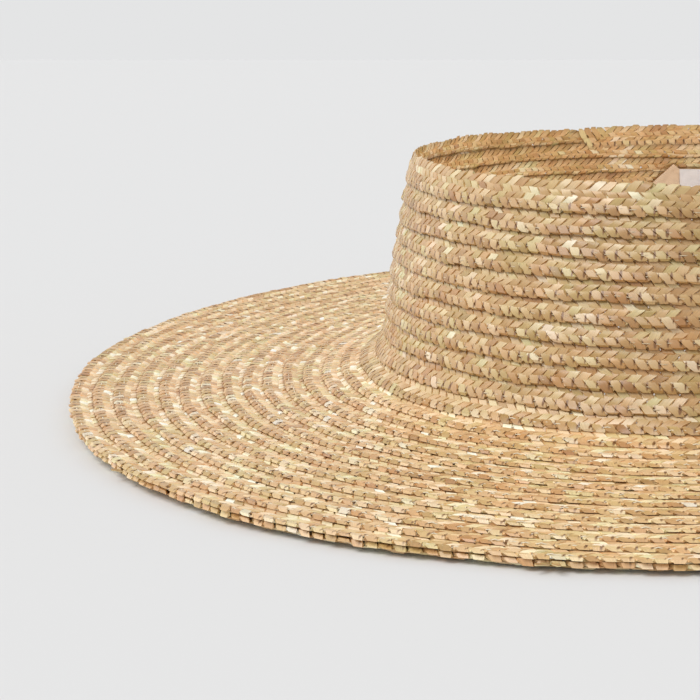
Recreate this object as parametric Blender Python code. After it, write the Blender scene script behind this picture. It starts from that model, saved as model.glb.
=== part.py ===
"""Straw boater hat with an open crown, sewn from one long plait of wheat straw.

The plait runs in a spiral: it starts at the rim of the crown, goes round and down the
crown's wall, turns outwards at its foot and ends at the edge of the brim.  Each turn,
called a row here, laps over the next one like a roof shingle.
"""
import math

import bmesh
import bpy
import numpy as np

# Crown opening, measured at the rim from the middle of the hat.
RIM_HALF_WIDTH = 0.078
RIM_HALF_LENGTH = 0.091

# The plait, and how far each row shows below the row above.  Under the rim, the first
# row's upper edge is drawn in by RIM_TUCK of the plait's thickness.
BRAID_WIDTH = 0.0075
BRAID_THICKNESS = 0.0008
ROW_PITCH = 0.00486
CROWN_ROWS = 11
BRIM_ROWS = 14
RIM_TUCK = 0.35
GAP = 0.0003

# Slope of the wall from plumb.  Along is 0 at the rim, 1 at the last crown row and 2 at
# the brim's edge, so the turn at the crown's foot follows the number of rows.
SLOPES = (
    # along, degrees
    (0.00, 13.5),
    (0.45, 10.5),
    (0.82, 7.0),
    (0.94, 38.5),
    (1.02, 71.5),
    (1.11, 82.0),
    (1.29, 90.0),
    (1.50, 91.3),
    (1.71, 90.9),
    (2.00, 90.3),
)

# The spiral, seen from above, goes clockwise from the back left.  A row lies at its mean
# place where LEVEL_SHARE of its turn is done.
SPIRAL_START = math.radians(132.5)
LEVEL_SHARE = 0.586

# The plait's first end comes out from inside the second row, and its last end goes back
# under the brim's edge.  Shares are of one turn, and shows is a share of the plait's width.
START_TAPER = (
    # share of turn, shows
    (0.00, 0.50),
    (0.30, 1.00),
)
END_TAPER_SHARE = 0.20

# The soft crown leans, so its rim is higher at the back left, and the brim's edge rises
# a little at both sides.
LEAN_SLOPE = math.radians(2.1)
LEAN_TOWARDS = math.radians(135.0)
EDGE_LIFT = 0.0022
LIFT_FROM = 1.46

# The flat ring under the brim that the hat rests on, as places along the wall.
REST_FROM = 1.20
REST_TO = 1.46

# The other places where the brim's plain underside bends, from its outer part inwards.
UNDERSIDE_OUTER_BENDS = (1.82, 1.64)
UNDERSIDE_INNER_BENDS = (1.12, 1.04)

# A strip of plait sewn under the last row stiffens the brim's edge.
EDGE_STRIP_WIDTH = 0.0045
EDGE_STRIP_THICKNESS = 0.0011

# The tape and the bare label on the inside of the back.  Heights are above the table.
TAPE_WIDTH = 0.018
TAPE_BOTTOM = 0.018
TAPE_TOP = 0.0447
TAPE_POINT = 0.0075
TAPE_THICKNESS = 0.0005
LABEL_WIDTH = 0.042
LABEL_BOTTOM = 0.023
LABEL_TOP = 0.0431
LABEL_THICKNESS = 0.0004
LABEL_PAST_TAPE = 0.002

STATIONS = 60
WALL_STEP = 0.0002


def row_edge(row):
    """Distance along the wall from the rim to the lower edge of a row, counted from 0."""
    return BRAID_WIDTH + row * ROW_PITCH


def distance_at(along):
    """Distance along the wall for a place given as in SLOPES."""
    crown = row_edge(CROWN_ROWS - 1)
    if along <= 1.0:
        return along * crown
    return crown + (along - 1.0) * BRIM_ROWS * ROW_PITCH


def trace_wall():
    """Walk down the wall and keep how far out and how high each step lies."""
    spare = 2.0 * BRAID_WIDTH
    total = distance_at(2.0)
    distance = np.arange(-spare, total + spare, WALL_STEP)
    slope_at = [distance_at(along) for along, _ in SLOPES]
    slope = np.radians(np.interp(distance, slope_at, [degrees for _, degrees in SLOPES]))
    out = np.cumsum(np.sin(slope)) * WALL_STEP
    height = -np.cumsum(np.cos(slope)) * WALL_STEP
    out -= np.interp(0.0, distance, out)
    resting = (distance > distance_at(REST_FROM)) & (distance < distance_at(REST_TO))
    height += layers_below(3) - height[resting].min()
    return distance, out, height, slope


def layers_below(count):
    """Depth from a row's top face to the underside of the plait lying below it."""
    lap = (BRAID_WIDTH - ROW_PITCH) / ROW_PITCH
    return BRAID_THICKNESS * (count - 1 + lap)


WALL_DISTANCE, WALL_OUT, WALL_HEIGHT, WALL_SLOPE = trace_wall()


def wall_point(angle, distance, depth):
    """A point at an angle round the hat, a distance down the wall and a depth under it."""
    out = float(np.interp(distance, WALL_DISTANCE, WALL_OUT))
    height = float(np.interp(distance, WALL_DISTANCE, WALL_HEIGHT))
    slope = float(np.interp(distance, WALL_DISTANCE, WALL_SLOPE))
    out -= depth * math.cos(slope)
    height -= depth * math.sin(slope)
    x = (RIM_HALF_WIDTH + out) * math.cos(angle)
    y = (RIM_HALF_LENGTH + out) * math.sin(angle)
    crown_share = max(0.0, 1.0 - distance / distance_at(1.0))
    towards = x * math.cos(LEAN_TOWARDS) + y * math.sin(LEAN_TOWARDS)
    height += crown_share * math.tan(LEAN_SLOPE) * towards
    lift_start = distance_at(LIFT_FROM)
    lift_share = max(0.0, (distance - lift_start) / (distance_at(2.0) - lift_start))
    height += EDGE_LIFT * lift_share ** 2 * math.cos(angle) ** 2
    return x, y, height


def turn_share(angle):
    """Share of a turn done at an angle, going clockwise from the spiral's start."""
    return ((SPIRAL_START - angle) / math.tau) % 1.0


def row_shift(angle):
    """How far down the wall the spiral has brought every row at an angle."""
    return (turn_share(angle) - LEVEL_SHARE) * ROW_PITCH


def rim_shift(angle):
    """How far below a full first row the rim lies, near the plait's first end."""
    shares = [share for share, _ in START_TAPER]
    shown = [part for _, part in START_TAPER]
    hidden = 1.0 - float(np.interp(turn_share(angle), shares, shown))
    return row_shift(angle) + hidden * BRAID_WIDTH


def edge_shift(angle):
    """How far past a full last row the brim's edge lies, near the plait's last end."""
    rest = max(0.0, 1.0 - turn_share(angle) / END_TAPER_SHARE)
    return row_shift(angle) + rest * ROW_PITCH


def top_face_depth(row, distance):
    """Depth of a row's outer face under the line through the rows' edges."""
    if row == 0:
        return RIM_TUCK * BRAID_THICKNESS * (row_edge(0) - distance) / BRAID_WIDTH
    return BRAID_THICKNESS * (row_edge(row) - distance) / ROW_PITCH


def crown_section(angle):
    """The crown's cut outline at an angle, as distance and depth pairs."""
    shift = row_shift(angle)
    rim = rim_shift(angle)
    rim_at = rim - shift
    outline = [(rim, top_face_depth(0, rim_at))]
    for row in range(CROWN_ROWS):
        edge = row_edge(row)
        outline.append((edge + shift, 0.0))
        if row < CROWN_ROWS - 1:
            outline.append((edge + shift, BRAID_THICKNESS))
    outline.append((row_edge(CROWN_ROWS - 1) + shift, BRAID_THICKNESS))
    for row in reversed(range(1, CROWN_ROWS)):
        top = row_edge(row) - BRAID_WIDTH
        top_below_rim = max(top + shift, rim + GAP)
        outline.append((top_below_rim, top_face_depth(row, top) + BRAID_THICKNESS))
        outline.append((top_below_rim, top_face_depth(row - 1, top) + BRAID_THICKNESS))
    outline.append((rim, top_face_depth(0, rim_at) + BRAID_THICKNESS))
    return outline


def brim_section(angle):
    """The brim's cut outline at an angle, from under the crown's last row outwards."""
    shift = row_shift(angle)
    first = CROWN_ROWS
    last = CROWN_ROWS + BRIM_ROWS - 1
    seat = row_edge(first - 1)
    inner = row_edge(first) - BRAID_WIDTH
    edge = row_edge(last) + edge_shift(angle)
    outline = [
        (inner + shift, top_face_depth(first, inner) + GAP),
        (seat + shift, top_face_depth(first, seat) + GAP),
    ]
    for row in range(first, last):
        outline.append((row_edge(row) + shift, 0.0))
        outline.append((row_edge(row) + shift, BRAID_THICKNESS))
    outline.append((edge, 0.0))
    outline.append((edge, BRAID_THICKNESS))
    strip_inner = row_edge(last) + row_shift(angle) - EDGE_STRIP_WIDTH - GAP
    outline.append((strip_inner, BRAID_THICKNESS))
    outline.append((strip_inner, layers_below(2)))
    for along in (*UNDERSIDE_OUTER_BENDS, REST_TO, REST_FROM, *UNDERSIDE_INNER_BENDS):
        outline.append((distance_at(along), layers_below(3)))
    outline.append((inner + shift, top_face_depth(first, inner) + GAP + BRAID_THICKNESS))
    return outline


def edge_strip_section(angle):
    """The strip under the brim's edge, a gap below the last row."""
    last = CROWN_ROWS + BRIM_ROWS - 1
    outer = row_edge(last) + edge_shift(angle)
    inner = row_edge(last) + row_shift(angle) - EDGE_STRIP_WIDTH
    top = BRAID_THICKNESS + GAP
    return [
        (inner, top),
        (outer, top),
        (outer, top + EDGE_STRIP_THICKNESS),
        (inner, top + EDGE_STRIP_THICKNESS),
    ]


def straw_material():
    """Pale dry wheat straw."""
    material = bpy.data.materials.new("wheat_straw")
    material.use_nodes = True
    shader = material.node_tree.nodes["Principled BSDF"]
    shader.inputs["Base Color"].default_value = (0.66, 0.48, 0.26, 1.0)
    shader.inputs["Roughness"].default_value = 0.5
    return material


def cloth_material(name, colour):
    """Plain woven tape."""
    material = bpy.data.materials.new(name)
    material.use_nodes = True
    shader = material.node_tree.nodes["Principled BSDF"]
    shader.inputs["Base Color"].default_value = colour
    shader.inputs["Roughness"].default_value = 0.85
    return material


def add_object(name, mesh, material, collection):
    """Put a finished mesh in the hat's collection."""
    mesh.materials.append(material)
    mesh.shade_smooth()
    mesh.set_sharp_from_angle(angle=math.radians(35.0))
    piece = bpy.data.objects.new(name, mesh)
    collection.objects.link(piece)
    return piece


def loft_ring(name, section, material, collection, flat_bottom=False):
    """Loft a closed ring through the sections at every station round the hat."""
    shape = bmesh.new()
    rings = []
    for station in range(STATIONS):
        angle = SPIRAL_START - math.tau * (station + 0.5) / STATIONS
        ring = [wall_point(angle, distance, depth) for distance, depth in section(angle)]
        rings.append([shape.verts.new(rest_flat(point, flat_bottom)) for point in ring])
    for ring, following in zip(rings, rings[1:] + rings[:1]):
        for corner in range(len(ring)):
            after = (corner + 1) % len(ring)
            shape.faces.new((ring[corner], ring[after], following[after], following[corner]))
    bmesh.ops.remove_doubles(shape, verts=shape.verts, dist=1e-6)
    bmesh.ops.recalc_face_normals(shape, faces=shape.faces)
    mesh = bpy.data.meshes.new(name)
    shape.to_mesh(mesh)
    shape.free()
    return add_object(name, mesh, material, collection)


def rest_flat(point, flat_bottom):
    """Press what would lie within a hair of the table flat onto it."""
    x, y, height = point
    if flat_bottom and height < BRAID_THICKNESS / 3.0:
        return x, y, 0.0
    return x, y, height


def distance_at_height(height):
    """Distance down the crown's wall at a height above the table."""
    crown = WALL_DISTANCE < distance_at(1.0)
    return float(np.interp(-height, -WALL_HEIGHT[crown], WALL_DISTANCE[crown]))


def back_panel(name, columns, clearance, thickness, material, collection):
    """A thin cloth panel inside the back; a column is across, bottom and top."""
    shape = bmesh.new()
    middle = distance_at_height((columns[0][1] + columns[0][2]) / 2.0)
    wall_out = float(np.interp(middle, WALL_DISTANCE, WALL_OUT))
    layers = []
    for depth in (clearance, clearance + thickness):
        grid = []
        for across, bottom, top in columns:
            angle = math.pi / 2.0 - across / (RIM_HALF_WIDTH + wall_out - depth)
            heights = (bottom, (bottom + top) / 2.0, top)
            grid.append([
                shape.verts.new(wall_point(angle, distance_at_height(height), depth))
                for height in heights
            ])
        layers.append(grid)
    outer, inner = layers
    rim = []
    for side in range(len(columns) - 1):
        for step in range(2):
            for grid in layers:
                shape.faces.new((
                    grid[side][step], grid[side + 1][step],
                    grid[side + 1][step + 1], grid[side][step + 1],
                ))
        rim.append(((side, 0), (side + 1, 0)))
        rim.append(((side, 2), (side + 1, 2)))
    for step in range(2):
        rim.append(((0, step), (0, step + 1)))
        rim.append(((len(columns) - 1, step), (len(columns) - 1, step + 1)))
    for (i, j), (k, m) in rim:
        shape.faces.new((outer[i][j], outer[k][m], inner[k][m], inner[i][j]))
    bmesh.ops.recalc_face_normals(shape, faces=shape.faces)
    mesh = bpy.data.meshes.new(name)
    shape.to_mesh(mesh)
    shape.free()
    return add_object(name, mesh, material, collection)


def label_columns():
    """Columns across the label, which is centred on the back."""
    count = 8
    left = -LABEL_WIDTH / 2.0
    return [
        (left + LABEL_WIDTH * step / count, LABEL_BOTTOM, LABEL_TOP)
        for step in range(count + 1)
    ]


def tape_columns():
    """Columns across the tape, whose top end is cut to a point."""
    middle = -LABEL_WIDTH / 2.0 - LABEL_PAST_TAPE
    count = 6
    columns = []
    for step in range(count + 1):
        side = 2.0 * step / count - 1.0
        top = TAPE_TOP - TAPE_POINT * abs(side)
        columns.append((middle + side * TAPE_WIDTH / 2.0, TAPE_BOTTOM, top))
    return columns


def stand_on_origin(collection):
    """Move every piece so that the origin is under the middle of the hat."""
    corners = [vertex.co for piece in collection.objects for vertex in piece.data.vertices]
    low = [min(corner[axis] for corner in corners) for axis in range(3)]
    high = [max(corner[axis] for corner in corners) for axis in range(3)]
    middle = ((low[0] + high[0]) / 2.0, (low[1] + high[1]) / 2.0, low[2])
    for piece in collection.objects:
        for vertex in piece.data.vertices:
            for axis in range(3):
                vertex.co[axis] -= middle[axis]


def main():
    for existing in list(bpy.data.objects):
        bpy.data.objects.remove(existing)
    collection = bpy.data.collections.new("straw_boater_hat")
    bpy.context.scene.collection.children.link(collection)
    straw = straw_material()
    loft_ring("crown", crown_section, straw, collection)
    loft_ring("brim", brim_section, straw, collection, flat_bottom=True)
    loft_ring("brim_edge", edge_strip_section, straw, collection)
    tape_clearance = layers_below(3) + GAP
    label_clearance = tape_clearance + TAPE_THICKNESS + GAP
    tape = cloth_material("beige_tape", (0.72, 0.52, 0.38, 1.0))
    label = cloth_material("white_label", (0.80, 0.76, 0.76, 1.0))
    back_panel("back_tape", tape_columns(), tape_clearance, TAPE_THICKNESS, tape, collection)
    back_panel("size_label", label_columns(), label_clearance, LABEL_THICKNESS, label, collection)
    stand_on_origin(collection)


main()
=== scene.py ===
import math

import bpy
import numpy as np
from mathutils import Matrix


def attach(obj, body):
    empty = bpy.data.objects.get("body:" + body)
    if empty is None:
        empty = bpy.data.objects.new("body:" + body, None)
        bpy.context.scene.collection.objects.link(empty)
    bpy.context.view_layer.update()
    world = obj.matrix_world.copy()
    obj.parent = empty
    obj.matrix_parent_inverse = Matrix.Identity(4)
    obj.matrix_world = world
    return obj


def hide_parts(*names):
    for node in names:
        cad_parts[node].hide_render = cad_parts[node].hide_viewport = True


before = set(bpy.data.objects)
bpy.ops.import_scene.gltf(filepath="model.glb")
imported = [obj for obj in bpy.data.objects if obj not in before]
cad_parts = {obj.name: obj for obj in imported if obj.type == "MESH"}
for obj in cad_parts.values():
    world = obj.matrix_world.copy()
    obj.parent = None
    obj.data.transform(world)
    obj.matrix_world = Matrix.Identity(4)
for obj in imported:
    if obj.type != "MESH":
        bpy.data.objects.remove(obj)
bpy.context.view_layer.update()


# The hat is one long plait of wheat straw, sewn in a spiral from the crown's rim, down its
# wall and out to the brim's edge. This section is the path that it follows, along the same
# walls as the frame's crown and brim have, and every other piece is laid on it.
RIM_HALF_WIDTH = 0.078
RIM_HALF_LENGTH = 0.091
PLAIT_WIDTH = 0.0075
PLAIT_THICKNESS = 0.0008
ROW_PITCH = 0.00486
CROWN_ROWS = 11
BRIM_ROWS = 14
SPIRAL_START = math.radians(132.5)
LEVEL_SHARE = 0.586
CROWN_LENGTH = PLAIT_WIDTH + (CROWN_ROWS - 1) * ROW_PITCH
BRIM_LENGTH = BRIM_ROWS * ROW_PITCH
WALL_STEP = 0.0002
WALL_SPARE = 2.0 * PLAIT_WIDTH
SLOPES = (
    # along, degrees from plumb: 0 is the rim, 1 the last crown row, 2 the brim's edge
    (0.00, 13.5),
    (0.45, 10.5),
    (0.82, 7.0),
    (0.94, 38.5),
    (1.02, 71.5),
    (1.11, 82.0),
    (1.29, 90.0),
    (1.50, 91.3),
    (1.71, 90.9),
    (2.00, 90.3),
)
REST_FROM = 1.20
LIFT_FROM = 1.46
LEAN_SLOPE = math.radians(2.1)
LEAN_TOWARDS = math.radians(135.0)
EDGE_LIFT = 0.0022


def distance_at(along):
    """Distance down the wall for a place given as in SLOPES."""
    return min(along, 1.0) * CROWN_LENGTH + max(along - 1.0, 0.0) * BRIM_LENGTH


def trace_wall():
    """Walk down the wall and keep how far out and how high each step lies."""
    distance = np.arange(-WALL_SPARE, distance_at(2.0) + WALL_SPARE, WALL_STEP)
    slope_at = [distance_at(along) for along, _ in SLOPES]
    slope = np.radians(np.interp(distance, slope_at, [degrees for _, degrees in SLOPES]))
    out = np.cumsum(np.sin(slope)) * WALL_STEP
    height = -np.cumsum(np.cos(slope)) * WALL_STEP
    out -= np.interp(0.0, distance, out)
    resting = (distance > distance_at(REST_FROM)) & (distance < distance_at(LIFT_FROM))
    lap = (PLAIT_WIDTH - ROW_PITCH) / ROW_PITCH
    height += (2.0 + lap) * PLAIT_THICKNESS - height[resting].min()
    return distance, out, height, slope


WALL_DISTANCE, WALL_OUT, WALL_HEIGHT, WALL_SLOPE = trace_wall()


def wall_points(angle, distance, depth):
    """Points at angles round the hat, distances down the wall and depths under it."""
    out = np.interp(distance, WALL_DISTANCE, WALL_OUT)
    height = np.interp(distance, WALL_DISTANCE, WALL_HEIGHT)
    slope = np.interp(distance, WALL_DISTANCE, WALL_SLOPE)
    out = out - depth * np.cos(slope)
    height = height - depth * np.sin(slope)
    x = (RIM_HALF_WIDTH + out) * np.cos(angle)
    y = (RIM_HALF_LENGTH + out) * np.sin(angle)
    crown_share = np.clip(1.0 - distance / CROWN_LENGTH, 0.0, None)
    towards = x * math.cos(LEAN_TOWARDS) + y * math.sin(LEAN_TOWARDS)
    height = height + crown_share * math.tan(LEAN_SLOPE) * towards
    lift_start = distance_at(LIFT_FROM)
    lift_share = np.clip((distance - lift_start) / (distance_at(2.0) - lift_start), 0.0, None)
    height = height + EDGE_LIFT * lift_share ** 2 * np.cos(angle) ** 2
    return np.stack((x, y, height), axis=-1)


# Each row leans, so that its upper part lies under the row above. The plait's first end
# lies inside the second row and comes out from it over 0.3 of a turn. Its last end goes
# back under the edge over a fifth of a turn, and the strip sewn under the edge leans less.
CROWN_LAP_DEPTH = 0.00100
BRIM_LAP_DEPTH = 0.00046
LAP_TURNS = (CROWN_ROWS - 2.0, CROWN_ROWS + 1.0)
FIRST_ROW_LEAN = 0.35
START_SHARE = 0.30
START_HIDDEN = 0.50 * PLAIT_WIDTH
START_DEPTH = 0.0016
END_SHARE = 0.20
STRIP_LEAN = 0.4
ALL_TURNS = CROWN_ROWS + BRIM_ROWS + END_SHARE
PATH_SAMPLES = 6001
EDGE_SAMPLES = 361


def lower_edge(turns):
    """Distance down the wall of the plait's lower edge, so many turns from its start."""
    steady = PLAIT_WIDTH + (turns - LEVEL_SHARE) * ROW_PITCH
    tucked = START_HIDDEN * np.clip(1.0 - turns / START_SHARE, 0.0, 1.0)
    drawn_in = ROW_PITCH * np.clip((turns - CROWN_ROWS - BRIM_ROWS) / END_SHARE, 0.0, 1.0)
    return steady + tucked - drawn_in


def on_hat(turns, across, proud, below=0.0):
    """Points on the plait, or on a strip of plait that lies below it.

    Across is towards the plait's lower edge, and proud is out of its face."""
    from_edge = PLAIT_WIDTH / 2.0 - across
    angle = SPIRAL_START - math.tau * turns
    lap_depth = np.interp(turns, LAP_TURNS, (CROWN_LAP_DEPTH, BRIM_LAP_DEPTH))
    lean = lap_depth * from_edge / ROW_PITCH * (STRIP_LEAN if below else 1.0)
    first_row = np.clip(1.0 - (turns - START_SHARE), FIRST_ROW_LEAN, 1.0)
    lean = lean * np.where(turns < 1.0, first_row, 1.0)
    tucked = START_DEPTH * np.clip(1.0 - turns / START_SHARE, 0.0, 1.0)
    depth = PLAIT_THICKNESS / 2.0 + lean + tucked + below
    return wall_points(angle, lower_edge(turns) - from_edge, depth - proud)


def hat_middle():
    """Where the middle of the outline lies from the middle of the rim's oval."""
    turns = np.linspace(ALL_TURNS - 1.0, ALL_TURNS, EDGE_SAMPLES)
    edge = on_hat(turns, PLAIT_WIDTH / 2.0, 0.0)
    return (edge.max(axis=0) + edge.min(axis=0))[:2] / 2.0


TURN_STEPS = np.linspace(0.0, ALL_TURNS, PATH_SAMPLES)
TURN_PATH = on_hat(TURN_STEPS, 0.0, 0.0)
LENGTH_STEPS = np.concatenate(
    ([0.0], np.cumsum(np.linalg.norm(np.diff(TURN_PATH, axis=0), axis=1)))
)
MIDDLE = hat_middle()


def length_at(turns):
    """Length along the plait from its start, so many turns on."""
    return float(np.interp(turns, TURN_STEPS, LENGTH_STEPS))


# The plait is a flat five-straw plait. Each straw is a flattened wheat stalk that runs
# slantwise over one neighbour and under the next, folds over at the plait's edge and runs
# back. One straw is modelled for one zigzag, and repeated into a long straight plait.
STRAWS = 5
ZIGZAG = 0.0135
STRAW_FILL = 0.97
STRAW_ALONG = STRAW_FILL * ZIGZAG / STRAWS
STRAW_THICKNESS = 0.00034
WEAVE_HEIGHT = 0.00021
STRAW_STATIONS = (
    # share of a zigzag, of the half width, of the weave height, quarter turns of a fold
    (0.000, -0.960, 0.0, 1),
    (0.035, -0.850, 1.0, 0),
    (0.130, -0.480, 1.0, 0),
    (0.200, -0.200, -1.0, 0),
    (0.262, 0.050, 1.0, 0),
    (0.335, 0.340, 1.0, 0),
    (0.405, 0.620, -1.0, 0),
    (0.500, 0.960, 0.0, 1),
    (0.535, 0.850, 1.0, 2),
    (0.630, 0.480, 1.0, 2),
    (0.700, 0.200, -1.0, 2),
    (0.762, -0.050, 1.0, 2),
    (0.835, -0.340, 1.0, 2),
    (0.905, -0.620, -1.0, 2),
    (1.000, -0.960, 0.0, 1),
)
STRAW_SECTION = (
    # side, face
    (1, -1),
    (1, 1),
    (-1, 1),
    (-1, -1),
    (1, -1),
)
SHOWN_WIDTH = 0.84
FOLDED_WIDTH = 0.66
INSIDE_SHOWN = 0.8
STRAW_LENGTHS = len(STRAW_STATIONS) - 1
SECTION_SIDES = len(STRAW_SECTION) - 1
UNEVEN_ALONG = 0.00016
UNEVEN_ACROSS = 0.00013
UNEVEN_PROUD = 0.00006


def model_straw():
    """One straw for one zigzag: a grid wrapped into a flat tube and laid slantwise."""
    bpy.ops.object.select_all(action="DESELECT")
    bpy.ops.mesh.primitive_grid_add(
        x_subdivisions=STRAW_LENGTHS, y_subdivisions=SECTION_SIDES, size=1.0
    )
    straw = bpy.context.object
    straw.name = "straw"
    half_width = PLAIT_WIDTH / 2.0
    shown = straw.data.attributes.new("shown", "FLOAT", "POINT")
    inside = straw.data.attributes.new("inside", "FLOAT", "POINT")
    for corner in straw.data.vertices:
        station = round((corner.co.x + 0.5) * STRAW_LENGTHS)
        side = round((corner.co.y + 0.5) * SECTION_SIDES)
        along, across_share, weave, quarters = STRAW_STATIONS[station]
        out, up = STRAW_SECTION[side]
        fold = math.tau * quarters / 4.0
        facing = up * weave * math.cos(fold)
        if facing > 0.5:
            out *= SHOWN_WIDTH
        if quarters == 1:
            out *= FOLDED_WIDTH
        across = across_share * half_width - up * STRAW_THICKNESS / 2.0 * math.sin(fold)
        corner.co = (
            along * ZIGZAG + out * STRAW_ALONG / 2.0,
            across,
            weave * WEAVE_HEIGHT + up * STRAW_THICKNESS / 2.0 * math.cos(fold),
        )
        is_inside = up * math.cos(fold) < -0.5
        hidden = INSIDE_SHOWN if is_inside else 0.0
        # Corners hidden between the straws get painted crease shade in the material.
        shown.data[corner.index].value = 1.0 if facing > 0.5 or quarters == 1 else hidden
        inside.data[corner.index].value = 1.0 if is_inside else 0.0
    return straw


def repeat(piece, count, step, step_u=0.0, step_v=0.0):
    """Repeat a piece along X, each copy with its own place in the UV map."""
    bpy.context.view_layer.objects.active = piece
    array = piece.modifiers.new("array", "ARRAY")
    array.count = count
    array.use_relative_offset = False
    array.use_constant_offset = True
    array.constant_offset_displace = (step, 0.0, 0.0)
    array.offset_u = step_u
    array.offset_v = step_v
    bpy.ops.object.modifier_apply(modifier=array.name)


def get_corners(piece):
    """The corners of a piece, a row each."""
    corners = np.empty(3 * len(piece.data.vertices))
    piece.data.vertices.foreach_get("co", corners)
    return corners.reshape(-1, 3)


def set_corners(piece, corners):
    """Move the corners of a piece to these rows."""
    piece.data.vertices.foreach_set("co", corners.ravel())
    piece.data.update()


STRAY_SEED = 11
ALL_STATIONS = (math.ceil(LENGTH_STEPS[-1] / ZIGZAG) + 1) * STRAW_LENGTHS + 1
STRAY = np.random.default_rng(STRAY_SEED).normal(size=(STRAWS, ALL_STATIONS, 3))
STRAY *= (UNEVEN_ALONG, UNEVEN_ACROSS, UNEVEN_PROUD)


def make_uneven(piece, zigzags, first_zigzag):
    """Push each straw a little out of line at its stations, as hand-laid straws are."""
    corners = get_corners(piece)
    shape = (zigzags, STRAWS, SECTION_SIDES + 1, STRAW_LENGTHS + 1, 3)
    zigzag = first_zigzag + np.arange(zigzags)[:, None]
    station = zigzag * STRAW_LENGTHS + np.arange(STRAW_LENGTHS + 1)[None, :]
    stray = STRAY[:, station].transpose(1, 0, 2, 3)
    corners = corners.reshape(shape) + stray[:, :, None, :, :]
    set_corners(piece, corners.reshape(-1, 3))


MERGE_WITHIN = 1e-7


def close_up(piece):
    """Merge the corners that meet and fill the open ends."""
    bpy.ops.object.select_all(action="DESELECT")
    piece.select_set(True)
    bpy.context.view_layer.objects.active = piece
    bpy.ops.object.mode_set(mode="EDIT")
    bpy.ops.mesh.select_all(action="SELECT")
    bpy.ops.mesh.remove_doubles(threshold=MERGE_WITHIN)
    bpy.ops.mesh.select_all(action="SELECT")
    bpy.ops.mesh.fill_holes(sides=SECTION_SIDES)
    bpy.ops.object.mode_set(mode="OBJECT")


STITCH_SPACING = 0.00270
STITCH_ACROSS = 0.0024
STITCH_SHIFT = 0.42
PALER_BEFORE_BRIM = 0.5
PAST_NO_ROW = 0.2
ROW_SWAYS = (
    # how far, waves in a turn, shift
    (0.00018, 7.3, 0.4),
    (0.00012, 13.7, 1.9),
    (0.00008, 31.1, 4.2),
)


def row_sway(turns):
    """How far a row wanders down the wall, so many turns from the plait's start."""
    return sum(far * np.sin(math.tau * waves * turns + shift) for far, waves, shift in ROW_SWAYS)


def lay_on_hat(piece, start_length, below=0.0):
    """Bend a straight piece along X round the hat, from a length along the plait.

    Its points keep how far they are past the row above and how near the brim, and their
    place along and across the sewn plait, for the straw's material."""
    along, across, proud = get_corners(piece).T
    along = along + start_length
    turns = np.interp(along, LENGTH_STEPS, TURN_STEPS)
    sway = row_sway(turns)
    laid = on_hat(turns, across + sway, proud, below)
    laid[:, :2] -= MIDDLE
    set_corners(piece, laid)
    # How far into the brim a point lies: it sets the brim's painted sheen and how strongly its
    # rows are banded.
    paler = np.clip(turns - CROWN_ROWS + PALER_BEFORE_BRIM, 0.0, 1.0)
    row_above = PLAIT_WIDTH / 2.0 - ROW_PITCH + row_sway(turns - 1.0) - sway
    past_row = (across - row_above) / PLAIT_WIDTH
    past_row = np.where(turns < 1.0, np.maximum(past_row, PAST_NO_ROW), past_row)
    for name, values in (("paler", paler), ("past_row", past_row)):
        piece.data.attributes.new(name, "FLOAT", "POINT").data.foreach_set("value", values)
    sewn = piece.data.uv_layers.new(name="sewn")
    corner_of = np.empty(len(piece.data.loops), dtype=np.int32)
    piece.data.loops.foreach_get("vertex_index", corner_of)
    place = np.stack((along / STITCH_SPACING + STITCH_SHIFT, across / PLAIT_WIDTH), axis=-1)
    sewn.data.foreach_set("uv", place[corner_of].ravel())


def smooth(piece, sharp_from):
    """Shade a piece smooth except at its sharp edges."""
    bpy.ops.object.select_all(action="DESELECT")
    piece.select_set(True)
    bpy.context.view_layer.objects.active = piece
    bpy.ops.object.shade_smooth_by_angle(angle=math.radians(sharp_from))


# Dry wheat straw is glossy and streaked, and no two stalks have the same shade. The tones come
# from noise along each stalk.
# Where a point lies on the hat adds painted light, sheen and shade: inside, on the brim, under
# each row, in the creases and in needle holes.
STRETCH_SCALE = (4.0, 1.0, 1.0)
DRIFT_SCALE = (0.22, 7.31, 1.0)
STREAK_SCALE = (5.0, 45.0, 1.0)
STREAK_RANGE = (0.3, 0.7)
STREAK_TONES = (0.84, 1.08)
PATCH_SCALE = 110.0
OWN_SHADE_SHARE = 0.34
OWN_TINT_SHARE = 0.40
STRAW_SHADES = (
    # place on the noise, colour
    (0.20, (0.36, 0.20, 0.08)),
    (0.32, (0.47, 0.29, 0.12)),
    (0.44, (0.55, 0.37, 0.165)),
    (0.54, (0.61, 0.435, 0.215)),
    (0.64, (0.70, 0.56, 0.33)),
    (0.78, (0.88, 0.80, 0.66)),
)
STRAW_TINTS = (
    # place on the noise, tint
    (0.25, (1.0, 0.83, 0.70)),
    (0.42, (1.0, 0.93, 0.90)),
    (0.58, (1.0, 0.97, 0.86)),
    (0.75, (0.90, 0.97, 0.80)),
)
ROW_SHADOW_AND_BANDS = (
    # plait widths past the edge of the row above, tint
    # The first stop is the painted shadow under the row above; the last two make the stitched
    # part browner.
    (0.010, (0.60, 0.47, 0.34)),
    (0.050, (0.95, 0.92, 0.88)),
    (0.110, (1.00, 1.00, 1.00)),
    (0.340, (1.00, 1.00, 1.00)),
    (0.430, (0.86, 0.78, 0.68)),
    (0.648, (0.80, 0.71, 0.60)),
)
CROWN_BAND_SHARE = 0.6
INSIDE_PAINTED_LIGHT = (1.34, 1.33, 1.34, 1.0)
BRIM_PAINTED_SHEEN = (1.43, 1.54, 1.84, 1.0)
CREASE_SHADE_COLOUR = (0.26, 0.12, 0.04, 1.0)
CREASE_RANGE = (0.0, 0.50)
CREASE_SHARES = (0.45, 1.0)
HOLE_SHADE_COLOUR = (0.22, 0.10, 0.03, 1.0)
HOLE_STRAY = 0.25
HOLE_STRAY_SCALE = 1.3
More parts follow.
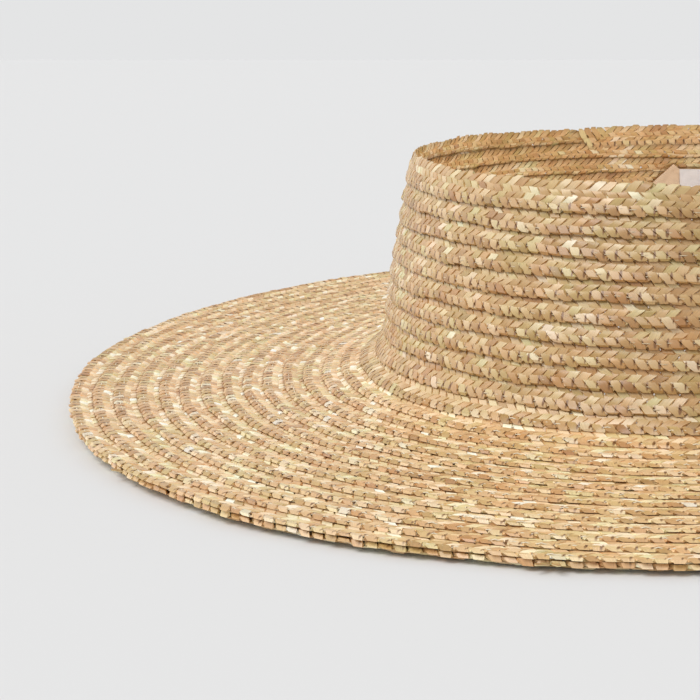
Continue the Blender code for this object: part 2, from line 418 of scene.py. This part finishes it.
HOLE_ACROSS_SCALE = 0.8
HOLE_SIZE_SCALE = 0.9
HOLE_SIZE_RANGE = (0.35, 0.65)
HOLE_SIZES = (0.02, 0.10)
HOLE_SOFTNESS = 0.06
STRAW_BUMP = {"Strength": 0.25, "Distance": 0.0001}
STRAW_ROUGHNESS = 0.36
STRAW_GLOSS = 0.75


def fill_inputs(tree, node, inputs):
    """Give a node's inputs their values, or the sockets that they read."""
    for name, value in inputs.items():
        if isinstance(value, bpy.types.NodeSocket):
            tree.links.new(value, node.inputs[name])
        else:
            node.inputs[name].default_value = value


def add_node(tree, kind, inputs, **settings):
    """Add a shader node, make its settings and fill its inputs."""
    node = tree.nodes.new("ShaderNode" + kind)
    for name, value in settings.items():
        setattr(node, name, value)
    fill_inputs(tree, node, inputs)
    return node


def new_material(name):
    """A new material, its node tree and its shader."""
    material = bpy.data.materials.new(name)
    material.use_nodes = True
    return material, material.node_tree, material.node_tree.nodes["Principled BSDF"]


def attribute(tree, name):
    """The socket of an attribute of the mesh."""
    return add_node(tree, "Attribute", {}, attribute_name=name).outputs["Fac"]


def noise(tree, scale, place, **inputs):
    """The socket of a noise at this scale, with any further inputs."""
    return add_node(tree, "TexNoise", {"Scale": scale, "Vector": place, **inputs}).outputs["Fac"]


def scaled(tree, place, scale):
    """The socket of a place, scaled."""
    return add_node(tree, "Mapping", {"Vector": place, "Scale": scale}).outputs["Vector"]


def calculate(tree, operation, *values):
    """The socket of a sum, product or other result of one to three values."""
    inputs = dict(enumerate(values))
    return add_node(tree, "Math", inputs, operation=operation).outputs["Value"]


def mapped(tree, value, from_range, to_range):
    """The socket of a value moved from one range to another, and held within it."""
    inputs = {"Value": value}
    inputs["From Min"], inputs["From Max"] = from_range
    inputs["To Min"], inputs["To Max"] = to_range
    return add_node(tree, "MapRange", inputs).outputs["Result"]


def mixed(tree, share, first, second, **settings):
    """The socket of a mix of two values or colours."""
    inputs = {"Factor": share, "A": first, "B": second}
    return add_node(tree, "Mix", inputs, **settings).outputs["Result"]


def mixed_colours(tree, share, first, second):
    """The socket of a mix of two colours."""
    return mixed(tree, share, first, second, data_type="RGBA")


def multiplied(tree, share, first, second, clamped=False):
    """The socket of a colour that is multiplied by another, in a share."""
    return mixed(
        tree, share, first, second, data_type="RGBA", blend_type="MULTIPLY", clamp_result=clamped
    )


def coloured(tree, value, table):
    """The socket of the colours that a table gives for a value."""
    ramp = add_node(tree, "ValToRGB", {"Fac": value})
    stops = ramp.color_ramp.elements
    stops.remove(stops[1])
    stops[0].position = table[0][0]
    stops[0].color = (*table[0][1], 1.0)
    for place, colour in table[1:]:
        stops.new(place).color = (*colour, 1.0)
    return ramp.outputs["Color"]


def stalk_colours(tree):
    """The stalks' shades, tints and streaks, and the streaks alone."""
    place = add_node(tree, "UVMap", {}, uv_map="UVMap").outputs["UV"]

    # Each stretch of a stalk that shows between two crossings has its own shade, and a
    # stalk keeps to a shade for a few zigzags: pale, cream, greenish or reddish brown.
    stretch = add_node(
        tree, "VectorMath", {0: scaled(tree, place, STRETCH_SCALE)}, operation="FLOOR"
    ).outputs["Vector"]
    own = add_node(tree, "TexWhiteNoise", {"Vector": stretch}, noise_dimensions="2D")
    own_parts = add_node(tree, "SeparateColor", {"Color": own.outputs["Color"]})
    drift = noise(tree, 1.0, scaled(tree, stretch, DRIFT_SCALE), Detail=2.0, Roughness=0.6)
    shade = mixed(tree, OWN_SHADE_SHARE, drift, own_parts.outputs["Red"])
    shaded = coloured(tree, shade, STRAW_SHADES)

    # Pinkish, yellowish and greenish stretches, and patches of a few millimetres.
    where = add_node(tree, "TexCoord", {}).outputs["Object"]
    patch = noise(tree, PATCH_SCALE, where, Detail=2.0)
    tint = mixed(tree, OWN_TINT_SHARE, patch, own_parts.outputs["Green"])
    tinted = multiplied(tree, 1.0, shaded, coloured(tree, tint, STRAW_TINTS))

    streak = noise(tree, 1.0, scaled(tree, place, STREAK_SCALE), Detail=2.0)
    streaks = mapped(tree, streak, STREAK_RANGE, STREAK_TONES)
    return multiplied(tree, 1.0, tinted, streaks), streak


def toned_by_place(tree, colour):
    """Painted light and shade on the straw: lighter inside, painted sheen on the brim, a painted
    shadow line and a browner stitched part along each row, and painted shade in its creases.
    """
    inside = attribute(tree, "inside")
    paler = attribute(tree, "paler")
    # Painted light: the inner faces are lighter, for light that comes through the straw and
    # bounces inside the crown.
    colour = multiplied(tree, inside, colour, INSIDE_PAINTED_LIGHT, clamped=True)
    # Painted sheen: the brim's straw is lighter and whiter, for the gloss that its flat rows
    # show at a low angle.
    colour = multiplied(tree, paler, colour, BRIM_PAINTED_SHEEN, clamped=True)

    # Just below the row above lies a thin dark line of painted shadow, cast by that row's lower
    # edge, and the stitched part is browner.
    how_banded = mapped(tree, paler, (0.0, 1.0), (CROWN_BAND_SHARE, 1.0))
    outside = calculate(tree, "SUBTRACT", 1.0, inside)
    band_share = calculate(tree, "MULTIPLY", how_banded, outside)
    bands = coloured(tree, attribute(tree, "past_row"), ROW_SHADOW_AND_BANDS)
    colour = multiplied(tree, band_share, colour, bands)

    # Painted shade: the creases where the straws pass under one another are darkened to brown.
    creases = mapped(tree, attribute(tree, "shown"), CREASE_RANGE, CREASE_SHARES)
    return mixed_colours(tree, creases, CREASE_SHADE_COLOUR, colour)


def stitch_holes(tree):
    """Nought in the small needle holes along the line of stitches, which get painted shade, and
    one elsewhere.
    """
    sewn = add_node(tree, "UVMap", {}, uv_map="sewn").outputs["UV"]
    sewn_at = add_node(tree, "SeparateXYZ", {"Vector": sewn}).outputs
    stray = noise(tree, HOLE_STRAY_SCALE, sewn)
    along = calculate(tree, "MULTIPLY_ADD", stray, HOLE_STRAY, sewn_at["X"])
    from_stitch = calculate(tree, "PINGPONG", along, 0.5)
    from_line = calculate(tree, "SUBTRACT", sewn_at["Y"], STITCH_ACROSS / PLAIT_WIDTH)
    across = calculate(tree, "MULTIPLY", from_line, HOLE_ACROSS_SCALE)
    spot = add_node(tree, "CombineXYZ", {"X": from_stitch, "Y": across}).outputs["Vector"]
    far = add_node(tree, "VectorMath", {0: spot}, operation="LENGTH").outputs["Value"]
    uneven = noise(tree, HOLE_SIZE_SCALE, sewn)
    hole_size = mapped(tree, uneven, HOLE_SIZE_RANGE, HOLE_SIZES)
    beyond = calculate(tree, "SUBTRACT", far, hole_size)
    return mapped(tree, beyond, (0.0, HOLE_SOFTNESS), (0.0, 1.0))


def wheat_straw():
    """Dry wheat straw: streaked along each stalk, each stalk and stretch its own shade."""
    material, tree, shader = new_material("wheat_straw")
    colour, streak = stalk_colours(tree)
    colour = toned_by_place(tree, colour)
    bump = add_node(tree, "Bump", {"Height": streak, **STRAW_BUMP})
    fill_inputs(tree, shader, {
        # The needle holes get painted shade.
        "Base Color": mixed_colours(tree, stitch_holes(tree), HOLE_SHADE_COLOUR, colour),
        "Normal": bump.outputs["Normal"],
        "Roughness": STRAW_ROUGHNESS,
        "Specular IOR Level": STRAW_GLOSS,
    })
    return material


STRAW = wheat_straw()


# The crown is the spiral's first eleven rows and the brim the other fourteen, kept as five
# pieces of one long plait. A strip of the same plait is sewn under the brim's last row,
# which makes the edge double.
STRAW_SHARP_FROM = 38.0
STRIP_TURNS = 1.0
STRIP_BELOW = 0.00108
STRIP_THICKER = 1.7
PLAIT_PIECES = (
    # name, first turn, last turn, node that it belongs to
    ("crown_upper_plait", 0.0, 5.6, "crown"),
    ("crown_lower_plait", 5.6, 11.0, "crown"),
    ("brim_inner_plait", 11.0, 16.4, "brim"),
    ("brim_middle_plait", 16.4, 21.0, "brim"),
    ("brim_outer_plait", 21.0, ALL_TURNS, "brim"),
)


def plait_piece(name, first_turn, last_turn, below=0.0, thicker=1.0):
    """A stretch of the plait between two turns, laid on the hat or below its last row."""
    first_zigzag = round(length_at(first_turn) / ZIGZAG)
    zigzags = round(length_at(last_turn) / ZIGZAG) - first_zigzag
    piece = model_straw()
    piece.name = name
    repeat(piece, STRAWS, ZIGZAG / STRAWS, step_v=1.0)
    repeat(piece, zigzags, ZIGZAG, step_u=1.0)
    make_uneven(piece, zigzags, first_zigzag)
    close_up(piece)
    set_corners(piece, get_corners(piece) * (1.0, 1.0, thicker))
    lay_on_hat(piece, first_zigzag * ZIGZAG, below)
    smooth(piece, STRAW_SHARP_FROM)
    piece.data.materials.append(STRAW)
    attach(piece, "root")
    return piece


for name, first_turn, last_turn, node in PLAIT_PIECES:
    plait = plait_piece(name, first_turn, last_turn)
    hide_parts(node)

strip_to = CROWN_ROWS + BRIM_ROWS
edge_plait = plait_piece(
    "brim_edge_plait", strip_to - STRIP_TURNS, strip_to, STRIP_BELOW, STRIP_THICKER
)
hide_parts("brim_edge")


# A few cut ends of straw stand out of the brim's edge: one at the left, and near the front
# two that cross in a small knot. Each is a short flat strip with a narrower tip.
LOOSE_ENDS = (
    # name, turn, length, width, degrees from along the row, past the edge, proud
    ("loose_end_left", 24.7190, 0.0022, 0.0009, 70.0, 0.0004, -0.0009),
    ("loose_end_front", 24.6190, 0.0024, 0.0010, 52.0, 0.0007, -0.0009),
    ("crossed_end_front", 24.6165, 0.0024, 0.0010, 122.0, 0.0007, -0.0008),
)
# The tip's width is a share of the strip's, and it rises by a share of its thickness.
LOOSE_TIP_WIDTH = 0.55
LOOSE_TIP_RISE = 0.8


def loose_end(name, turn, length, width, slant, past_edge, proud):
    """A short strip of straw at the brim's edge, its tip narrowed and raised."""
    bpy.ops.object.select_all(action="DESELECT")
    bpy.ops.mesh.primitive_cube_add(size=1.0)
    end = bpy.context.object
    end.name = name
    for corner in end.data.vertices:
        if corner.co.x > 0.0:
            corner.co.y *= LOOSE_TIP_WIDTH
            corner.co.z += LOOSE_TIP_RISE
    end.scale = (length, width, STRAW_THICKNESS)
    end.rotation_euler.z = math.radians(slant)
    end.location = (0.0, PLAIT_WIDTH / 2.0 + past_edge, proud)
    bpy.ops.object.transform_apply(location=True, rotation=True, scale=True)
    for attribute_name, value in (("shown", 1.0), ("inside", 0.0)):
        values = end.data.attributes.new(attribute_name, "FLOAT", "POINT").data
        values.foreach_set("value", [value] * len(values))
    lay_on_hat(end, length_at(turn))
    end.data.materials.append(STRAW)
    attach(end, "root")


for loose in LOOSE_ENDS:
    loose_end(*loose)


# Each row is sewn to the row below with a pale cotton thread, near its lower edge. A stitch
# is a short bent bar whose two ends go down between the straws.
STITCH_LENGTH = 0.0019
THREAD_RADIUS = 0.00014
STITCH_PROUD = 0.00036
STITCH_BEND = 0.00030
STITCH_STRAY = (0.00015, 0.00010, 0.00010)
STITCH_SHARP_FROM = 80.0
THREAD_COLOUR = (0.72, 0.62, 0.45, 1.0)
THREAD_ROUGHNESS = 0.6
STITCH_LINES = (
    # name, first turn, last turn, seed of their small strays
    ("crown_stitches", 0.4, CROWN_ROWS, 14),
    ("brim_stitches", CROWN_ROWS, CROWN_ROWS + BRIM_ROWS, 13),
)


def model_stitch():
    """One stitch: a thin three-sided bar, bent down at both ends."""
    bpy.ops.object.select_all(action="DESELECT")
    bpy.ops.mesh.primitive_cylinder_add(
        vertices=3, radius=THREAD_RADIUS, depth=STITCH_LENGTH, rotation=(0.0, math.pi / 2.0, 0.0)
    )
    stitch = bpy.context.object
    bpy.ops.object.transform_apply(rotation=True)
    bpy.ops.object.mode_set(mode="EDIT")
    bpy.ops.mesh.select_all(action="SELECT")
    bpy.ops.mesh.bisect(plane_co=(0.0, 0.0, 0.0), plane_no=(1.0, 0.0, 0.0))
    bpy.ops.object.mode_set(mode="OBJECT")
    for corner in stitch.data.vertices:
        end = abs(corner.co.x) / (STITCH_LENGTH / 2.0)
        corner.co.z += STITCH_PROUD - STITCH_BEND * end
        corner.co.y += STITCH_ACROSS
    return stitch


def sewing_thread():
    """Pale twisted cotton."""
    material, tree, shader = new_material("sewing_thread")
    fill_inputs(tree, shader, {"Base Color": THREAD_COLOUR, "Roughness": THREAD_ROUGHNESS})
    return material


THREAD = sewing_thread()


def stitch_line(name, first_turn, last_turn, seed):
    """The stitches of the rows between two turns, each a little out of line."""
    start = length_at(first_turn)
    count = int((length_at(last_turn) - start) / STITCH_SPACING)
    line = model_stitch()
    line.name = name
    repeat(line, count, STITCH_SPACING, step_u=1.0)
    corners = get_corners(line).reshape(count, -1, 3)
    corners += np.random.default_rng(seed).normal(size=(count, 1, 3)) * STITCH_STRAY
    set_corners(line, corners.reshape(-1, 3))
    lay_on_hat(line, start)
    smooth(line, STITCH_SHARP_FROM)
    line.data.materials.append(THREAD)
    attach(line, "root")


for stitches in STITCH_LINES:
    stitch_line(*stitches)


# A beige woven tape is sewn inside the crown's back, its end cut to a point and hemmed.
# A small plain white label lies beside it and over its edge.
TAPE_WIDTH = 0.018
TAPE_MIDDLE = -0.023
TAPE_BOTTOM = 0.018
TAPE_TOP = 0.0447
TAPE_POINT = 0.0075
TAPE_CLEARANCE = 0.0029
TAPE_THICKNESS = 0.0005
HEM_WIDTH = 0.0016
HEM_PROUD = 0.0005
HEM_SLOPE = 0.0003
TAPE_COLOUR = (0.90, 0.68, 0.48)
TAPE_THREADS = 60.0
LABEL_HALF_WIDTH = 0.021
LABEL_BOTTOM = 0.023
LABEL_TOP = 0.0431
LABEL_CLEARANCE = 0.0037
LABEL_THICKNESS = 0.0004
LABEL_RIPPLE = 0.00025
LABEL_RIPPLE_TURN = 5.0
LABEL_RIPPLE_SHIFT = 1.0
LABEL_COLOUR = (0.90, 0.87, 0.88)
LABEL_THREADS = 110.0
CLOTH_STEPS = 28
CLOTH_SHARP_FROM = 40.0
LIT_THREADS = (1.0, 1.0, 1.0, 1.0)
SHADED_THREADS = (0.86, 0.86, 0.86, 1.0)
WORN_SCALE = 9.0
WORN_TONES = (0.90, 1.10)
CLOTH_BUMP = {"Strength": 0.3, "Distance": 0.0001}
CLOTH_ROUGHNESS = 0.85


def inside_back(across, height, depth):
    """Points inside the crown's back: how far across from its middle, how high above the
    table, and how deep under the wall's outer face."""
    crown = WALL_DISTANCE < CROWN_LENGTH
    distance = np.interp(-height, -WALL_HEIGHT[crown], WALL_DISTANCE[crown])
    out = np.interp(distance, WALL_DISTANCE, WALL_OUT)
    angle = math.pi / 2.0 - across / (RIM_HALF_WIDTH + out - depth)
    points = wall_points(angle, distance, depth)
    points[:, :2] -= MIDDLE
    return points


def cloth_panel(name):
    """A flat square grid, to be shaped to a panel."""
    bpy.ops.object.select_all(action="DESELECT")
    bpy.ops.mesh.primitive_grid_add(
        x_subdivisions=CLOTH_STEPS, y_subdivisions=CLOTH_STEPS, size=2.0
    )
    panel = bpy.context.object
    panel.name = name
    return panel


def thicken(panel, thickness):
    """Give a shaped panel its thickness, towards the wall."""
    bpy.context.view_layer.objects.active = panel
    solid = panel.modifiers.new("thickness", "SOLIDIFY")
    solid.thickness = thickness
    solid.offset = -1.0
    bpy.ops.object.modifier_apply(modifier=solid.name)
    smooth(panel, CLOTH_SHARP_FROM)


def woven_cloth(name, colour, threads):
    """Plain woven cloth, with so many crossing threads over the panel."""
    material, tree, shader = new_material(name)
    place = add_node(tree, "UVMap", {}, uv_map="UVMap").outputs["UV"]
    # Alternate threads are painted lit and shaded in a fine check.
    weave = add_node(tree, "TexChecker", {
        "Vector": place,
        "Scale": threads,
        "Color1": LIT_THREADS,
        "Color2": SHADED_THREADS,
    })
    dyed_and_thread_shaded = multiplied(tree, 1.0, (*colour, 1.0), weave.outputs["Color"])
    worn = mapped(tree, noise(tree, WORN_SCALE, place), (0.0, 1.0), WORN_TONES)
    bump = add_node(tree, "Bump", {"Height": weave.outputs["Fac"], **CLOTH_BUMP})
    fill_inputs(tree, shader, {
        "Base Color": multiplied(tree, 1.0, dyed_and_thread_shaded, worn),
        "Normal": bump.outputs["Normal"],
        "Roughness": CLOTH_ROUGHNESS,
    })
    return material


tape = cloth_panel("pointed_tape")
side, up, _ = get_corners(tape).T
top = TAPE_TOP - TAPE_POINT * np.abs(side)
height = TAPE_BOTTOM + (up + 1.0) / 2.0 * (top - TAPE_BOTTOM)
from_hem = np.minimum(top - height, (1.0 - np.abs(side)) * TAPE_WIDTH / 2.0)
hem = HEM_PROUD * np.clip((HEM_WIDTH - from_hem) / HEM_SLOPE + 1.0, 0.0, 1.0)
set_corners(
    tape, inside_back(TAPE_MIDDLE + side * TAPE_WIDTH / 2.0, height, TAPE_CLEARANCE + hem)
)
thicken(tape, TAPE_THICKNESS)
tape.data.materials.append(woven_cloth("beige_tape", TAPE_COLOUR, TAPE_THREADS))
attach(tape, "root")
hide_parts("back_tape")

label = cloth_panel("plain_label")
side, up, _ = get_corners(label).T
height = LABEL_BOTTOM + (up + 1.0) / 2.0 * (LABEL_TOP - LABEL_BOTTOM)
ripple = LABEL_RIPPLE * np.sin(LABEL_RIPPLE_TURN * side + LABEL_RIPPLE_SHIFT) * (1.0 - up) / 2.0
set_corners(label, inside_back(side * LABEL_HALF_WIDTH, height, LABEL_CLEARANCE + ripple))
thicken(label, LABEL_THICKNESS)
label.data.materials.append(woven_cloth("white_label", LABEL_COLOUR, LABEL_THREADS))
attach(label, "root")
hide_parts("size_label")


# The hat lies on a plain pale surface that runs on until it meets the pale surroundings.
# It is matt, and shows only the hat's soft shadow.
FLOOR_SIZE = 300.0
FLOOR_COLOUR = (0.69, 0.69, 0.69, 1.0)


def pale_floor():
    """A wide, pale, matt surface."""
    bpy.ops.object.select_all(action="DESELECT")
    bpy.ops.mesh.primitive_plane_add(size=FLOOR_SIZE)
    floor = bpy.context.object
    floor.name = "pale_floor"
    material, tree, shader = new_material("pale_floor")
    inputs = {"Base Color": FLOOR_COLOUR, "Roughness": 1.0, "Specular IOR Level": 0.0}
    fill_inputs(tree, shader, inputs)
    floor.data.materials.append(material)
    return floor


pale_floor()


# One wide soft light stands at the front left, high up, and a weaker and wider one low at
# the left. A weak lamp inside the crown stands for light that comes through the straw.
WIDE_SUNS = (
    # name, strength, degrees wide, degrees from +X towards +Y, degrees up
    ("soft_box", 1.6, 40.0, 225.0, 58.0),
    ("left_fill", 0.7, 60.0, 174.0, 25.0),
)
GLOW_SIZE = 0.12
GLOW_STRENGTH = 0.042
GLOW_COLOUR = (1.0, 0.90, 0.80)
GLOW_PLACE = (0.0, 0.0, 0.010)


def hang_lamp(name, kind):
    """A lamp of a kind, and the object that holds it."""
    lamp = bpy.data.lights.new(name, kind)
    holder = bpy.data.objects.new(name, lamp)
    bpy.context.scene.collection.objects.link(holder)
    return lamp, holder


for name, strength, spread, azimuth, elevation in WIDE_SUNS:
    sun, holder = hang_lamp(name, "SUN")
    sun.energy = strength
    sun.angle = math.radians(spread)
    holder.rotation_euler = (0.0, math.radians(90.0 - elevation), math.radians(azimuth))

glow, holder = hang_lamp("inside_glow", "AREA")
glow.shape = "DISK"
glow.size = GLOW_SIZE
glow.energy = GLOW_STRENGTH
glow.color = GLOW_COLOUR
holder.location = GLOW_PLACE
holder.rotation_euler = (math.pi, 0.0, 0.0)
holder.visible_camera = False


# The surroundings are an even pale light. It is a little weaker from above than from near
# the horizon, where it meets the floor.
SKY_COLOUR = (0.99, 0.995, 1.0, 1.0)
SKY_HEIGHTS = (0.12, 0.45)
SKY_STRENGTHS = (0.785, 0.62)


def pale_surroundings():
    """A world whose strength changes smoothly with height."""
    world = bpy.data.worlds.new("studio")
    world.use_nodes = True
    tree = world.node_tree
    towards = add_node(tree, "TexCoord", {}).outputs["Generated"]
    height = add_node(tree, "SeparateXYZ", {"Vector": towards}).outputs["Z"]
    inputs = {"Value": height}
    inputs["From Min"], inputs["From Max"] = SKY_HEIGHTS
    inputs["To Min"], inputs["To Max"] = SKY_STRENGTHS
    strength = add_node(tree, "MapRange", inputs, interpolation_type="SMOOTHSTEP")
    background = {"Color": SKY_COLOUR, "Strength": strength.outputs["Result"]}
    fill_inputs(tree, tree.nodes["Background"], background)
    return world


bpy.context.scene.world = pale_surroundings()
bpy.context.scene.view_settings.view_transform = "Standard"


# The camera stands low in front of the hat and looks slightly down. The photograph is a
# part of a wider picture, so the frame is shifted sideways and down.
CAMERA_FROM_RIM = (0.0551, -0.3813, 0.0821)
CAMERA_PITCH = 83.75
CAMERA_TURN = 9.516
CAMERA_LENS = 71.3
CAMERA_SENSOR = 36.0
CAMERA_SHIFT_X = -0.4596
CAMERA_SHIFT_Y = -0.1990

camera_data = bpy.data.cameras.new("camera")
camera_data.lens = CAMERA_LENS
camera_data.sensor_width = CAMERA_SENSOR
camera_data.shift_x = CAMERA_SHIFT_X
camera_data.shift_y = CAMERA_SHIFT_Y
camera = bpy.data.objects.new("camera", camera_data)
camera.location = np.array(CAMERA_FROM_RIM) - np.array((*MIDDLE, 0.0))
camera.rotation_euler = (math.radians(CAMERA_PITCH), 0.0, math.radians(CAMERA_TURN))
bpy.context.scene.collection.objects.link(camera)
bpy.context.scene.camera = camera
